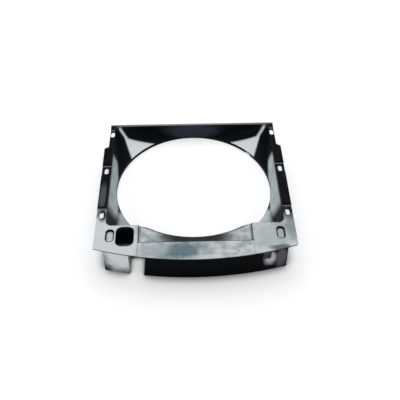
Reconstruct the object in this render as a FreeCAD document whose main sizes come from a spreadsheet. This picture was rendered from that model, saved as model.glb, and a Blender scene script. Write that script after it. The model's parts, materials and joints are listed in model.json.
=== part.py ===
import FreeCAD, Part
import math
import os

import Sketcher

# Radiator fan shroud in its mounting-face frame: X across the car, Y from the lower edge of the
# shroud to its upper edge, Z from the fan towards the radiator. Sketches use a datum at the height
# of the lower corners (Y = 0) on the face that the radiator meets (Z = 0); every body is then
# shifted so that the part's origin is the bottom centre of its bounding box.

DRIVING = {
    # mounting face
    "face_half_width": 280.0,      # half width below the side steps
    "upper_half_width": 267.0,     # half width above them
    "step_low": 416.0,             # Y where the side step starts
    "step_high": 423.0,            # and where it ends
    "top_edge": 538.0,             # Y of the upper edge
    "wall": 2.8,                   # moulded wall
    "duct_half_width": 252.0,      # inside of the side walls at the face
    "duct_top": 535.0,             # inside of the upper wall at the face
    "duct_bottom": 84.5,           # inside of the lower wall at the face
    # fan ring
    "ring_radius": 239.0,
    "ring_centre": 297.6,          # Y of the fan axis
    "ring_depth": 72.3,            # ring face below the mounting face, on the fan axis
    "ring_tilt": 4.0,              # the fan axis leans back from the radiator, degrees
    "lip": 8.0,                    # straight lip round the fan opening
    "ring_clear": 1.0,             # ledge between the duct wall and the lip
    "notch_angle": 41.0,
    "notch_length": 21.0,
    "notch_height": 5.0,
    # side flanges
    "land_height": 4.0,            # raised seal lands above the slot pockets
    "slot_width": 12.0,
    "slot_length": 25.0,
    "slot_inset": 266.0,           # X of the lower and middle slots
    "upper_slot_inset": 259.0,     # X of the upper slots
    "low_slot": 126.0,             # Y of the three slot rows
    "middle_slot": 313.0,
    "upper_slot": 491.0,
    "low_land_start": 148.0,
    "low_land_end": 291.0,
    "high_land_start": 333.0,
    "high_land_end": 470.0,
    "top_land_start": 510.0,
    "gusset_depth": 26.0,
    "gusset_width": 11.0,
    "gusset_root": 17.0,           # reach into the duct, cut away with its inside
    "gusset_thick": 2.4,
    "gusset_start": 165.0,
    "gusset_pitch": 60.0,
    "gusset_count": 6.0,
    # lower skirt
    "skirt_front": 30.0,           # skirt's outer face, below the datum at mid width
    "skirt_radius": 1000.0,
    "neck_half": 163.6,            # half width of the way from the duct into the chamber
    "neck_margin": 1.0,            # reach of that way past the panel's inner edge
    "beyond": 320.0,               # half width of cuts that pass the whole part
    "under_margin": 3.0,           # low flange stands back under the panel's edge
    "under_start": 5.0,
    "lug_half": 9.0,
    "gap_outer": 185.0,            # open bay at the left of the skirt
    "gap_inner": 135.0,
    "gap_slant": 12.0,
    "gap_reach": 42.0,             # how far the bay runs into the floor
    "window_inner": 185.0,         # small window at the right
    "window_outer": 208.0,
    "window_height": 46.0,
    "window_sill": 6.0,
    # lower panel
    "panel_wall": 2.6,
    "panel_bulge": 45.0,           # bow of the lower edge
    "ear_gap": 0.6,
    "panel_inner": 85.0,           # Y of the panel's straight inner edge
    "panel_corner": 16.0,
    "arc_shoulder": 141.0,         # where the fan cut-out starts
    "arc_root": 2.0,               # Y where its two flanks would meet
    "arc_radius": 250.0,
    "shoulder_radius": 50.0,
    "joggle_half": 160.0,          # recessed middle
    "joggle_depth": 7.0,
    "joggle_slope": 6.5,
    "crease": 21.0,
    "scuff_depth": 0.8,
    "scuff_low": 26.0,
    "duct_hole_x": 195.8,          # centre of the rounded square hole, to the left
    "duct_hole_y": 43.0,
    "duct_hole_width": 50.5,
    "duct_hole_height": 72.0,
    "duct_hole_corner": 18.0,
    "collar": 12.0,
    "socket_x": 237.5,
    "socket_y": 47.0,
    "socket_width": 21.0,
    "socket_length": 44.0,
    "socket_depth": 6.0,
    "socket_wall": 2.2,
    "right_corner": 9.0,
    "left_corner": 4.0,
    "stud_radius": 2.5,
    "stud_length": 8.0,
    "stud_clear": 0.3,
    "rib_reach": 236.0,
    "rib_y": 7.0,
    "rib_thick": 2.0,
    "rib_depth": 5.0,
    # foam and fasteners
    "seal_thick": 3.0,
    "seal_margin": 5.0,
    "seal_edge": 1.5,
    "nut_radius": 7.0,
    "nut_thick": 2.4,
}

SIDES = (-1, 1)
NUT_SIDES = 12
# Sections of the duct: share of the depth, curvature of the sides as a share of the fan ring's,
# and the corner's inside radius at that depth.
LOFT_STATIONS = ((0.0, 0.012, 18.0), (0.4, 0.13, 28.0), (0.75, 0.35, 66.0), (1.0, 0.985, 232.0))

os.makedirs("parts", exist_ok=True)
doc = FreeCAD.newDocument("fan_shroud")
sheet = doc.addObject("Spreadsheet::Sheet", "size")
for line, (alias, number) in enumerate(DRIVING.items(), start=1):
    sheet.set(f"A{line}", alias)
    sheet.set(f"B{line}", str(number))
    sheet.setAlias(f"B{line}", alias)
SHIFT_LINE = len(DRIVING) + 1
for line, alias in enumerate(("shift_back", "lift"), start=SHIFT_LINE):
    sheet.set(f"A{line}", alias)
    sheet.set(f"B{line}", "0")
    sheet.setAlias(f"B{line}", alias)
doc.recompute()


def value(expression):
    """Number that an expression on the sheet gives."""
    return float(sheet.evalExpression(expression))


def new_body(label):
    """Body whose placement follows the shift cells of the sheet."""
    body = doc.addObject("PartDesign::Body", label)
    body.Label = label
    body.setExpression("Placement.Base.y", "size.shift_back")
    body.setExpression("Placement.Base.z", "size.lift")
    return body


def new_sketch(body, name, plane="XY_Plane", height="0", along="0", tilt="0"):
    """Empty sketch on one of the body's origin planes, raised by height and turned by tilt."""
    sketch = body.newObject("Sketcher::SketchObject", name)
    origin = next(p for p in body.Origin.OriginFeatures if p.Role == plane)
    sketch.AttachmentSupport = [(origin, "")]
    sketch.MapMode = "FlatFace"
    sketch.AttachmentOffset = FreeCAD.Placement(
        FreeCAD.Vector(0, 0, 0), FreeCAD.Rotation(FreeCAD.Vector(1, 0, 0), value(tilt)))
    sketch.setExpression("AttachmentOffset.Base.z", height)
    if along != "0":
        sketch.setExpression("AttachmentOffset.Base.y", along)
    if tilt != "0":
        sketch.setExpression("AttachmentOffset.Rotation.Angle", tilt)
    return sketch


def bind(sketch, kind, places, expression):
    """Dimension constraint driven by an expression on the sheet."""
    number = sketch.addConstraint(Sketcher.Constraint(kind, *places, value(expression)))
    sketch.setExpression(f"Constraints[{number}]", expression)


def pin_point(sketch, geometry, end, x_text, y_text):
    """Hold a point at a place given by two expressions."""
    bind(sketch, "DistanceX", (-1, 1, geometry, end), x_text)
    bind(sketch, "DistanceY", (-1, 1, geometry, end), y_text)


def closed_outline(sketch, corners):
    """Closed outline through corners (x, y), (x, y, radius) or (x, y, None, bow, side).

    radius rounds the corner, and bow is the radius of an arc to the next corner, which
    swells to the right of the way round, or to the left where side is -1.
    """
    count = len(corners)
    points = [FreeCAD.Vector(value(c[0]), value(c[1]), 0) for c in corners]
    starts, ends, rounds = [], [], {}
    for i, corner in enumerate(corners):
        radius = value(corner[2]) if len(corner) > 2 and corner[2] else 0.0
        into = (points[i] - points[i - 1]).normalize()
        away = (points[(i + 1) % count] - points[i]).normalize()
        turn = into.getAngle(away)
        reach = radius * math.tan(turn / 2)
        ends.append(points[i] - into * reach)
        starts.append(points[i] + away * reach)
        if radius:
            middle = (into * -1 + away).normalize() * (radius / math.cos(turn / 2) - radius)
            rounds[i] = points[i] + middle
    edges, arcs, spots = [], {}, {}
    for i, corner in enumerate(corners):
        first, last = starts[i], ends[(i + 1) % count]
        curve = Part.LineSegment(first, last)
        if len(corner) > 3:
            radius = value(corner[3])
            chord = last - first
            rise = radius - math.sqrt(radius ** 2 - chord.Length ** 2 / 4)
            side = FreeCAD.Vector(chord.y, -chord.x, 0).normalize() * (rise * corner[4])
            curve = counter_clockwise_arc(first, (first + last) * 0.5 + side, last)
        edges.append(add_edge(sketch, curve, first))
    for i in rounds:
        arc = counter_clockwise_arc(ends[i], rounds[i], starts[i])
        arcs[i] = add_edge(sketch, arc, ends[i])
        spots[i] = sketch.addGeometry(Part.Point(points[i]), True)

    joins = []
    for i in range(count):
        (before, before_end), (after, after_end) = edges[i - 1], edges[i]
        meet = (before, 3 - before_end), (after, after_end)
        if i in rounds:
            arc, end = arcs[i]
            joins.append(Sketcher.Constraint("Tangent", *meet[0], arc, end))
            joins.append(Sketcher.Constraint("Tangent", arc, 3 - end, *meet[1]))
            joins.append(Sketcher.Constraint("PointOnObject", spots[i], 1, before))
            joins.append(Sketcher.Constraint("PointOnObject", spots[i], 1, after))
        else:
            joins.append(Sketcher.Constraint("Coincident", *meet[0], *meet[1]))
    sketch.addConstraint(joins)
    for i, corner in enumerate(corners):
        if i in rounds:
            bind(sketch, "Radius", (arcs[i][0],), corner[2])
            pin_point(sketch, spots[i], 1, corner[0], corner[1])
        else:
            pin_point(sketch, *edges[i], corner[0], corner[1])
        if len(corner) > 3:
            bind(sketch, "Radius", (edges[i][0],), corner[3])


def counter_clockwise_arc(first, middle, last):
    """Arc through three points, drawn counter-clockwise as the sketcher keeps it."""
    turn = (middle - first).cross(last - middle).z
    return Part.Arc(first, middle, last) if turn > 0 else Part.Arc(last, middle, first)


def add_edge(sketch, curve, first):
    """Add a curve to a sketch, and return its number and which end, 1 or 2, lies at first."""
    number = sketch.addGeometry(curve)
    edge = sketch.Geometry[number]
    forward = (edge.StartPoint - first).Length < (edge.EndPoint - first).Length
    return number, 1 if forward else 2


def circle(sketch, x_text, y_text, radius_text):
    """Circle held by its centre and radius."""
    centre = FreeCAD.Vector(value(x_text), value(y_text), 0)
    round_edge = Part.Circle(centre, FreeCAD.Vector(0, 0, 1), value(radius_text))
    number = sketch.addGeometry(round_edge)
    pin_point(sketch, number, 3, x_text, y_text)
    bind(sketch, "Radius", (number,), radius_text)


def rectangle(sketch, x_low, x_high, y_low, y_high, radius=None):
    """Upright rectangle, with rounded corners where a radius is given."""
    corners = [(x_low, y_low), (x_high, y_low), (x_high, y_high), (x_low, y_high)]
    closed_outline(sketch, [(x, y, radius) if radius else (x, y) for x, y in corners])


def slot_outline(sketch, x_text, y_text, width, length):
    """Obround along Y, drawn as a rectangle whose corners are rounded almost to half its width."""
    rectangle(sketch,
              f"{x_text} - ({width}) / 2", f"{x_text} + ({width}) / 2",
              f"{y_text} - ({length}) / 2", f"{y_text} + ({length}) / 2",
              f"({width}) / 2 - 0.05")


def pad(body, name, sketch, length, up=True):
    """Pad along or against the sketch's normal."""
    feature = body.newObject("PartDesign::Pad", name)
    feature.Profile = sketch
    feature.setExpression("Length", length)
    feature.Reversed = not up
    doc.recompute()
    if sketch.solve() != 0:
        raise RuntimeError(f"the sketch of {name} doesn't solve")
    return feature


def pocket(body, name, sketch, length, up=False):
    """Pocket against the sketch's normal, or along it; it must take something away."""
    before = body.Shape.Volume
    feature = body.newObject("PartDesign::Pocket", name)
    feature.Profile = sketch
    feature.setExpression("Length", length)
    feature.Reversed = up
    doc.recompute()
    if sketch.solve() != 0:
        raise RuntimeError(f"the sketch of {name} doesn't solve")
    if not body.Shape.Volume < before - 1.0:
        raise RuntimeError(f"{name} cuts nothing")
    return feature


def touching_centre(first, first_reach, second, second_reach):
    """Point at given distances from two centres: of the two, the one nearer the origin."""
    apart = second - first
    gap = apart.Length
    along = (first_reach ** 2 - second_reach ** 2 + gap ** 2) / (2 * gap)
    across = math.sqrt(first_reach ** 2 - along ** 2)
    foot = first + apart * (along / gap)
    aside = FreeCAD.Vector(-apart.y, apart.x, 0) * (across / gap)
    return min((foot + aside, foot - aside), key=lambda p: p.Length)


def section(body, name, station, grow, depth):
    """One section of the duct: four sides bowed towards the ring's circle, with round corners."""
    share, bow, corner = station
    ring = "(size.ring_radius + size.ring_clear)"
    bow_radius = f"({ring} / {bow} + {grow})"
    corner_radius = f"({corner} + {grow})"
    half = f"(size.duct_half_width * {1 - share} + {ring} * {share} + {grow})"
    far = f"((size.duct_top - size.ring_centre) * {1 - share} + {ring} * {share} + {grow})"
    near = (f"((size.ring_centre - size.duct_bottom) * {1 - share ** 2}"
            f" + {ring} * {share ** 2} + {grow})")
    sketch = new_sketch(body, name, height=f"-{share} * ({depth})", along="size.ring_centre",
                        tilt=f"size.ring_tilt * {share}")
    places = (("0", f"{bow_radius} - {near}"), (f"{half} - {bow_radius}", "0"),
              ("0", f"{far} - {bow_radius}"), (f"{bow_radius} - {half}", "0"))
    middles = [FreeCAD.Vector(value(x), value(y), 0) for x, y in places]
    reach, tight = value(bow_radius), value(corner_radius)
    corners = [touching_centre(middles[i], reach - tight, middles[(i + 1) % 4], reach - tight)
               for i in range(4)]
    joins = []
    for i, middle in enumerate(middles):
        before, after = corners[i - 1] - middle, corners[i] - middle
        following = middles[(i + 1) % 4]
        sketch.addGeometry(arc_about(middle, reach, before, after))
        sketch.addGeometry(arc_about(corners[i], tight, after, corners[i] - following))
        joins.append(Sketcher.Constraint("Tangent", 2 * i, 2, 2 * i + 1, 1))
        joins.append(Sketcher.Constraint("Tangent", 2 * i + 1, 2, (2 * i + 2) % 8, 1))
    sketch.addConstraint(joins)
    for i, (x_text, y_text) in enumerate(places):
        pin_point(sketch, 2 * i, 3, x_text, y_text)
        bind(sketch, "Radius", (2 * i,), bow_radius)
        bind(sketch, "Radius", (2 * i + 1,), corner_radius)
    return sketch


def arc_about(centre, radius, first, last):
    """Counter-clockwise arc about a centre, from one direction to another."""
    start, end = (math.atan2(v.y, v.x) for v in (first, last))
    round_edge = Part.Circle(centre, FreeCAD.Vector(0, 0, 1), radius)
    return Part.ArcOfCircle(round_edge, start, end if end > start else end + 2 * math.pi)


def duct(body, kind, name, grow, depth):
    """Loft through the duct's sections."""
    cuts = [section(body, f"{name}_{i}", station, grow, depth)
            for i, station in enumerate(LOFT_STATIONS)]
    loft = body.newObject(kind, name)
    loft.Profile = cuts[0]
    loft.Sections = cuts[1:]
    loft.Ruled = False
    doc.recompute()
    return loft


def flange_outline(sketch, side, low, high, inner="size.duct_half_width + size.wall / 2",
                   inset="0"):
    """Side flange between two heights, with the step in its outer edge where it passes it."""
    sign = "" if side > 0 else "-"
    inside = f"{sign}({inner})"
    wide = f"{sign}(size.face_half_width - {inset})"
    narrow = f"{sign}(size.upper_half_width - {inset})"
    low_value, high_value = value(low), value(high)
    corners = [(inside, low)]
    if low_value < value("size.step_low"):
        corners.append((wide, low))
        if high_value > value("size.step_high"):
            corners += [(wide, "size.step_low"), (narrow, "size.step_high"), (narrow, high)]
        else:
            corners.append((wide, high))
    else:
        corners += [(narrow, low), (narrow, high)]
    corners.append((inside, high))
    closed_outline(sketch, corners if side > 0 else corners[::-1])


def ring_sketch(body, name, height):
    """Sketch square to the fan axis, centred on it, at a height above the ring face."""
    lean = "size.ring_tilt"
    return new_sketch(body, name, height=f"-size.ring_depth + ({height}) * cos({lean})",
                      along=f"size.ring_centre - ({height}) * sin({lean})", tilt=lean)


STUDS = (
    ("-266", "22"), ("266", "22"), ("-266", "90"), ("266", "90"), ("-80", "-14"), ("80", "-14"),
)
LANDS = (
    ("size.low_land_start", "size.low_land_end"),
    ("size.high_land_start", "size.high_land_end"),
    ("size.top_land_start", "size.top_edge"),
)


FLOOR_DEPTH = "(size.ring_depth - size.lip)"
OUTER = "size.duct_half_width + size.wall"
MID_WALL = "size.duct_half_width + size.wall / 2"


def skirt_y(x_text, inset="0"):
    """Y of the bowed skirt's face at an X, or of a face parallel to it inside."""
    radius = f"(size.skirt_radius - ({inset}))"
    return f"(size.skirt_radius - size.skirt_front - sqrt({radius} ^ 2 - ({x_text}) ^ 2))"


def raise_flanges(body):
    """Side flanges: slot level, lower level under the panel, and hollow raised seal lands."""
    level = new_sketch(body, "flange_sketch", height="-size.wall")
    under = new_sketch(body, "low_flange_sketch", height="-size.panel_wall - size.wall")
    riser = new_sketch(body, "riser_sketch", height="-size.panel_wall - size.wall")
    lands = new_sketch(body, "land_sketch")
    hollows = new_sketch(body, "land_hollow_sketch", height="-size.wall")
    inset = "size.face_half_width - size.under_margin"
    for side in SIDES:
        sign = "" if side > 0 else "-"
        flange_outline(level, side, "size.low_land_start", "size.top_edge")
        x_in, x_out = sorted((f"{sign}({MID_WALL})", f"{sign}({inset})"), key=value)
        rectangle(under, x_in, x_out, "size.under_start", "size.low_land_start + size.wall")
        x_in, x_out = sorted((f"{sign}({MID_WALL})", f"{sign}size.face_half_width"), key=value)
        rectangle(riser, x_in, x_out, "size.low_land_start", "size.low_land_start + size.wall")
        for low, high in LANDS:
            flange_outline(lands, side, low, high)
            flange_outline(hollows, side, f"{low} + size.wall", f"{high} - size.wall",
                           inner="size.duct_half_width + 2 * size.wall", inset="size.wall")
    pad(body, "flange", level, "size.wall")
    pad(body, "low_flange", under, "size.wall")
    pad(body, "riser", riser, "size.panel_wall + size.wall + size.land_height")
    pad(body, "lands", lands, "size.land_height")
    rim = new_sketch(body, "rim_sketch", height="-size.wall")
    rectangle(rim, "-size.upper_half_width", "size.upper_half_width",
              "size.duct_top", "size.top_edge")
    pad(body, "rim", rim, "size.wall + size.land_height")
    pocket(body, "land_hollows", hollows, "size.land_height", up=True)


def raise_gussets(body):
    """Row of small gussets under each side flange, let into the duct's wall."""
    gusset = new_sketch(body, "gusset_sketch", plane="XZ_Plane", height="-size.gusset_start")
    foot = "-size.wall - size.gusset_depth"
    root = "(size.duct_half_width - size.gusset_root)"
    for side in SIDES:
        sign = "" if side > 0 else "-"
        corners = [(f"{sign}{root}", "-size.wall / 2"),
                   (f"{sign}({MID_WALL} + size.gusset_width)", "-size.wall / 2"),
                   (f"{sign}({MID_WALL} + size.gusset_width)", "-2 * size.wall"),
                   (f"{sign}{root}", foot)]
        closed_outline(gusset, corners if side > 0 else corners[::-1])
    first = body.newObject("PartDesign::Pad", "gusset")
    first.Profile = gusset
    first.Midplane = True
    first.setExpression("Length", "size.gusset_thick")
    doc.recompute()
    pattern = body.newObject("PartDesign::LinearPattern", "gusset_row")
    pattern.Originals = [first]
    y_axis = next(p for p in body.Origin.OriginFeatures if p.Role == "Y_Axis")
    pattern.Direction = (y_axis, [""])
    pattern.setExpression("Length", "size.gusset_pitch * (size.gusset_count - 1)")
    pattern.Occurrences = int(value("size.gusset_count"))
    body.Tip = pattern
    doc.recompute()


def chamber_outline(sketch, bow, centre):
    """Inside of the lower chamber, with its way through to the duct, Y counted from centre."""
    front = f"{skirt_y('size.duct_half_width', 'size.wall')} - {centre}"
    back = f"size.duct_bottom - size.wall - {centre}"
    neck = f"size.panel_inner + size.neck_margin - {centre}"
    closed_outline(sketch, [
        ("-size.duct_half_width", front, None, bow, 1), ("size.duct_half_width", front),
        ("size.duct_half_width", back), ("size.neck_half", back), ("size.neck_half", neck),
        ("-size.neck_half", neck), ("-size.neck_half", back), ("-size.duct_half_width", back)])


def build_plenum_shell():
    """Main moulding: duct, fan ring, side flanges with slots, and the bowed lower skirt."""
    body = new_body("plenum_shell")
    duct(body, "PartDesign::AdditiveLoft", "duct_outside", "size.wall", FLOOR_DEPTH)
    chamber = new_sketch(body, "chamber_sketch", height="-size.panel_wall")
    closed_outline(chamber, [
        (f"-({OUTER})", skirt_y(OUTER), None, "size.skirt_radius", 1), (OUTER, skirt_y(OUTER)),
        (OUTER, "size.duct_bottom"), (f"-({OUTER})", "size.duct_bottom")])
    pad(body, "chamber", chamber, "1.6 * size.ring_depth", up=False)
    floor = ring_sketch(body, "floor_trim_sketch", "size.lip")
    rectangle(floor, "-size.beyond", "size.beyond", "-size.ring_centre - size.beyond", "size.beyond")
    pocket(body, "floor_trim", floor, "size.beyond / 3")
    raise_flanges(body)
    raise_gussets(body)
    duct(body, "PartDesign::SubtractiveLoft", "duct_inside", "0", f"{FLOOR_DEPTH} - size.wall")

    inner = "size.skirt_radius - size.wall"
    upright = new_sketch(body, "chamber_hollow_sketch")
    chamber_outline(upright, inner, "0")
    pocket(body, "chamber_hollow", upright, "size.ring_depth")
    wedge = ring_sketch(body, "chamber_floor_sketch", "size.lip + size.wall")
    chamber_outline(wedge, inner, "size.ring_centre")
    pocket(body, "chamber_floor", wedge, "2 * size.lip", up=True)
    opening = ring_sketch(body, "fan_opening_sketch", "0")
    circle(opening, "0", "0", "size.ring_radius")
    pocket(body, "fan_opening", opening, "size.lip + size.wall + 1", up=True)
    lip = ring_sketch(body, "ring_lip_sketch", "0")
    circle(lip, "0", "0", "size.ring_radius")
    circle(lip, "0", "0", "size.ring_radius + size.wall")
    pad(body, "ring_lip", lip, "size.lip + size.wall / 2")

    skirt = new_sketch(body, "skirt_sketch", height="-size.panel_wall")
    closed_outline(skirt, [
        (f"-({OUTER})", skirt_y(OUTER), None, "size.skirt_radius", 1), (OUTER, skirt_y(OUTER)),
        (OUTER, skirt_y(OUTER, "size.wall"), None, inner, -1),
        (f"-({OUTER})", skirt_y(OUTER, "size.wall"))])
    pad(body, "skirt", skirt, "1.6 * size.ring_depth", up=False)
    below = ring_sketch(body, "ring_face_trim_sketch", "0")
    rectangle(below, "-size.beyond", "size.beyond", "-size.ring_centre - size.beyond", "size.beyond")
    pocket(body, "ring_face_trim", below, "60")
    rebate = new_sketch(body, "panel_rebate_sketch", height="-size.panel_wall")
    rectangle(rebate, "-size.beyond", "size.beyond", "-size.beyond", "size.low_land_start")
    pocket(body, "panel_rebate", rebate, "20", up=True)

    bay = new_sketch(body, "bay_sketch", plane="XZ_Plane", height="60")
    bottom = "-1.5 * size.ring_depth"
    closed_outline(bay, [("-size.gap_outer", bottom),
                         ("-size.gap_inner - size.gap_slant", bottom),
                         ("-size.gap_inner", "5"), ("-size.gap_outer", "5")])
    pocket(body, "left_bay", bay, "60 + size.gap_reach")
    window = new_sketch(body, "window_sketch", plane="XZ_Plane", height="60")
    rectangle(window, "size.window_inner", "size.window_outer",
              "-size.window_height", "-size.panel_wall - size.window_sill")
    pocket(body, "right_window", window, "80")

    lugs = new_sketch(body, "lug_sketch", height="-size.panel_wall - size.wall")
    for x_text, y_text in STUDS[-2:]:
        rectangle(lugs, f"{x_text} - size.lug_half", f"{x_text} + size.lug_half",
                  skirt_y(x_text, "size.wall / 2"), f"{y_text} + size.lug_half")
    pad(body, "stud_lugs", lugs, "size.wall")
    holes = new_sketch(body, "stud_hole_sketch", height="-size.panel_wall")
    for x_text, y_text in STUDS:
        circle(holes, x_text, y_text, "size.stud_radius + size.stud_clear")
    pocket(body, "stud_holes", holes, "size.wall + 0.5")

    slots = new_sketch(body, "slot_sketch")
    low_slots = new_sketch(body, "low_slot_sketch", height="-size.panel_wall")
    for sign in ("", "-"):
        slot_outline(slots, f"{sign}size.upper_slot_inset", "size.upper_slot",
                     "size.slot_width", "size.slot_length")
        slot_outline(slots, f"{sign}size.slot_inset", "size.middle_slot",
                     "size.slot_width", "size.slot_length")
        slot_outline(low_slots, f"{sign}size.slot_inset", "size.low_slot",
                     "size.slot_width + 2", "size.slot_length + 2")
    pocket(body, "slots", slots, "size.wall + 0.5")
    pocket(body, "low_slots", low_slots, "size.wall + 0.5")

    notch = ring_sketch(body, "lip_notch_sketch", "0")
    corners = []
    for radius, swing in (("- 3", -1), ("+ size.wall + 3", -1), ("+ size.wall + 3", 1), ("- 3", 1)):
        angle = f"(size.notch_angle + {swing} * 28.65 * size.notch_length / size.ring_radius)"
        reach = f"(size.ring_radius {radius})"
        corners.append((f"{reach} * cos({angle})", f"{reach} * sin({angle})"))
    closed_outline(notch, corners)
    pocket(body, "lip_notch", notch, "size.notch_height", up=True)
    return body


def build_lower_panel():
    """Separate closing panel with ears, fan cut-out, joggled middle, hole and blind sockets."""
    body = new_body("lower_panel")
    bow = "((size.face_half_width ^ 2 + size.panel_bulge ^ 2) / (2 * size.panel_bulge))"
    blank = new_sketch(body, "blank_sketch", height="-size.panel_wall")
    ear = "size.low_land_start - size.ear_gap"
    closed_outline(blank, [("-size.face_half_width", "0", None, bow, 1),
                           ("size.face_half_width", "0"), ("size.face_half_width", ear),
                           ("-size.face_half_width", ear)])
    pad(body, "blank", blank, "size.panel_wall")
    for name, x_text, radius in (("right_corner_round", "size.face_half_width", "size.right_corner"),
                                 ("left_corner_round", "-size.face_half_width", "size.left_corner")):
        base = body.Tip
        names = [f"Edge{i}" for i, edge in enumerate(base.Shape.Edges, start=1)
                 if abs(edge.CenterOfMass.x - value(x_text)) < 0.01
                 and abs(edge.CenterOfMass.y) < 0.01]
        rounding = body.newObject("PartDesign::Fillet", name)
        rounding.Base = (base, names)
        rounding.setExpression("Radius", radius)
        doc.recompute()

    backs = new_sketch(body, "recess_back_sketch", height="-size.panel_wall")
    skin = "size.panel_wall"
    rectangle(backs, f"-size.joggle_half - {skin}", f"size.joggle_half + {skin}",
              f"size.crease - {skin}", "size.panel_inner + 10")
    pad(body, "joggle_back", backs, "size.joggle_depth", up=False)
    cups = new_sketch(body, "socket_cup_sketch", height="-size.panel_wall")
    for sign in ("", "-"):
        slot_outline(cups, f"{sign}size.socket_x", "size.socket_y",
                     "size.socket_width + 2 * size.socket_wall",
                     "size.socket_length + 2 * size.socket_wall")
    pad(body, "socket_cups", cups, "size.socket_depth", up=False)
    collar = new_sketch(body, "collar_sketch", height="-size.panel_wall")
    grown = "2 * size.socket_wall"
    rounded_hole(collar, f"size.duct_hole_width + {grown}", f"size.duct_hole_height + {grown}",
                 "size.duct_hole_corner + size.socket_wall")
    pad(body, "hole_collar", collar, "size.collar - size.panel_wall", up=False)
    ribs = new_sketch(body, "rib_sketch", height="-size.panel_wall")
    rectangle(ribs, "-size.rib_reach", "size.rib_reach", "size.rib_y",
              "size.rib_y + size.rib_thick")
    pad(body, "long_rib", ribs, "size.rib_depth", up=False)

    joggle = new_sketch(body, "joggle_sketch", plane="XZ_Plane", height="-size.crease")
    deep = "-size.joggle_depth"
    closed_outline(joggle, [("-size.joggle_half + size.joggle_slope", deep),
                            ("size.joggle_half - size.joggle_slope", deep),
                            ("size.joggle_half", "0"), ("-size.joggle_half", "0")])
    pocket(body, "joggle", joggle, "size.panel_inner + 20 - size.crease")
    scuff = new_sketch(body, "scuffed_pad_sketch")
    rectangle(scuff, "-size.joggle_half", "size.joggle_half", "-size.scuff_low", "size.crease")
    pocket(body, "scuffed_pad", scuff, "size.scuff_depth")

    cut = new_sketch(body, "inner_edge_sketch")
    inside = "size.duct_half_width"
    closed_outline(cut, [
        (f"-{inside}", "200"), (f"-{inside}", "size.panel_inner", "size.panel_corner"),
        ("-size.arc_shoulder", "size.panel_inner", "size.shoulder_radius"),
        ("0", "size.arc_root", "size.arc_radius"),
        ("size.arc_shoulder", "size.panel_inner", "size.shoulder_radius"),
        (inside, "size.panel_inner", "size.panel_corner"), (inside, "200")])
    pocket(body, "inner_edge", cut, "30")
    through = new_sketch(body, "duct_hole_sketch")
    rounded_hole(through, "size.duct_hole_width", "size.duct_hole_height", "size.duct_hole_corner")
    pocket(body, "duct_hole", through, "30")
    sockets = new_sketch(body, "socket_sketch")
    ear_slots = new_sketch(body, "ear_slot_sketch")
    for sign in ("", "-"):
        slot_outline(sockets, f"{sign}size.socket_x", "size.socket_y",
                     "size.socket_width", "size.socket_length")
        slot_outline(ear_slots, f"{sign}size.slot_inset", "size.low_slot",
                     "size.slot_width", "size.slot_length")
    pocket(body, "sockets", sockets, "size.socket_depth")
    pocket(body, "ear_slots", ear_slots, "size.panel_wall + 1")
    studs = new_sketch(body, "stud_sketch", height="-size.panel_wall")
    for x_text, y_text in STUDS:
        circle(studs, x_text, y_text, "size.stud_radius")
    pad(body, "studs", studs, "size.stud_length", up=False)
    return body


def rounded_hole(sketch, width, height, radius):
    """Rounded rectangle round the centre of the panel's hole."""
    rectangle(sketch, f"-size.duct_hole_x - ({width}) / 2", f"-size.duct_hole_x + ({width}) / 2",
              f"size.duct_hole_y - ({height}) / 2", f"size.duct_hole_y + ({height}) / 2", radius)


def build_seal(label, side, land):
    """Foam strip on one raised land, short of its edges all round."""
    body = new_body(label)
    sketch = new_sketch(body, f"{label}_sketch", height="size.land_height")
    low, high = land
    flange_outline(sketch, side, f"{low} + size.seal_margin", f"{high} - size.seal_edge",
                   inner="size.duct_half_width + size.seal_margin", inset="size.seal_edge")
    pad(body, f"{label}_strip", sketch, "size.seal_thick")
    return body


def build_push_nuts():
    """Spring-steel push nuts on the panel's studs, against the flange's underside."""
    group = doc.addObject("Part::Feature", "push_nuts")
    group.Label = "push_nuts"
    seat = -value("size.panel_wall + size.wall")
    outline = [FreeCAD.Vector(value("size.nut_radius"), 0, 0)]
    turn = FreeCAD.Rotation(FreeCAD.Vector(0, 0, 1), 360 / NUT_SIDES)
    for _ in range(NUT_SIDES):
        outline.append(turn.multVec(outline[-1]))
    outline[-1] = outline[0]
    thick = value("size.nut_thick")
    plate = Part.Face(Part.makePolygon(outline)).extrude(FreeCAD.Vector(0, 0, -thick))
    bore = Part.makeCylinder(value("size.stud_radius"), 2 * thick, FreeCAD.Vector(0, 0, -thick * 1.5))
    ring = plate.cut(bore)
    nuts = []
    for x_text, y_text in STUDS:
        nut = ring.copy()
        nut.translate(FreeCAD.Vector(value(x_text), value(y_text), seat))
        nuts.append(nut)
    group.Shape = Part.makeCompound(nuts)
    group.setExpression("Placement.Base.y", "size.shift_back")
    group.setExpression("Placement.Base.z", "size.lift")
    return group


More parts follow.
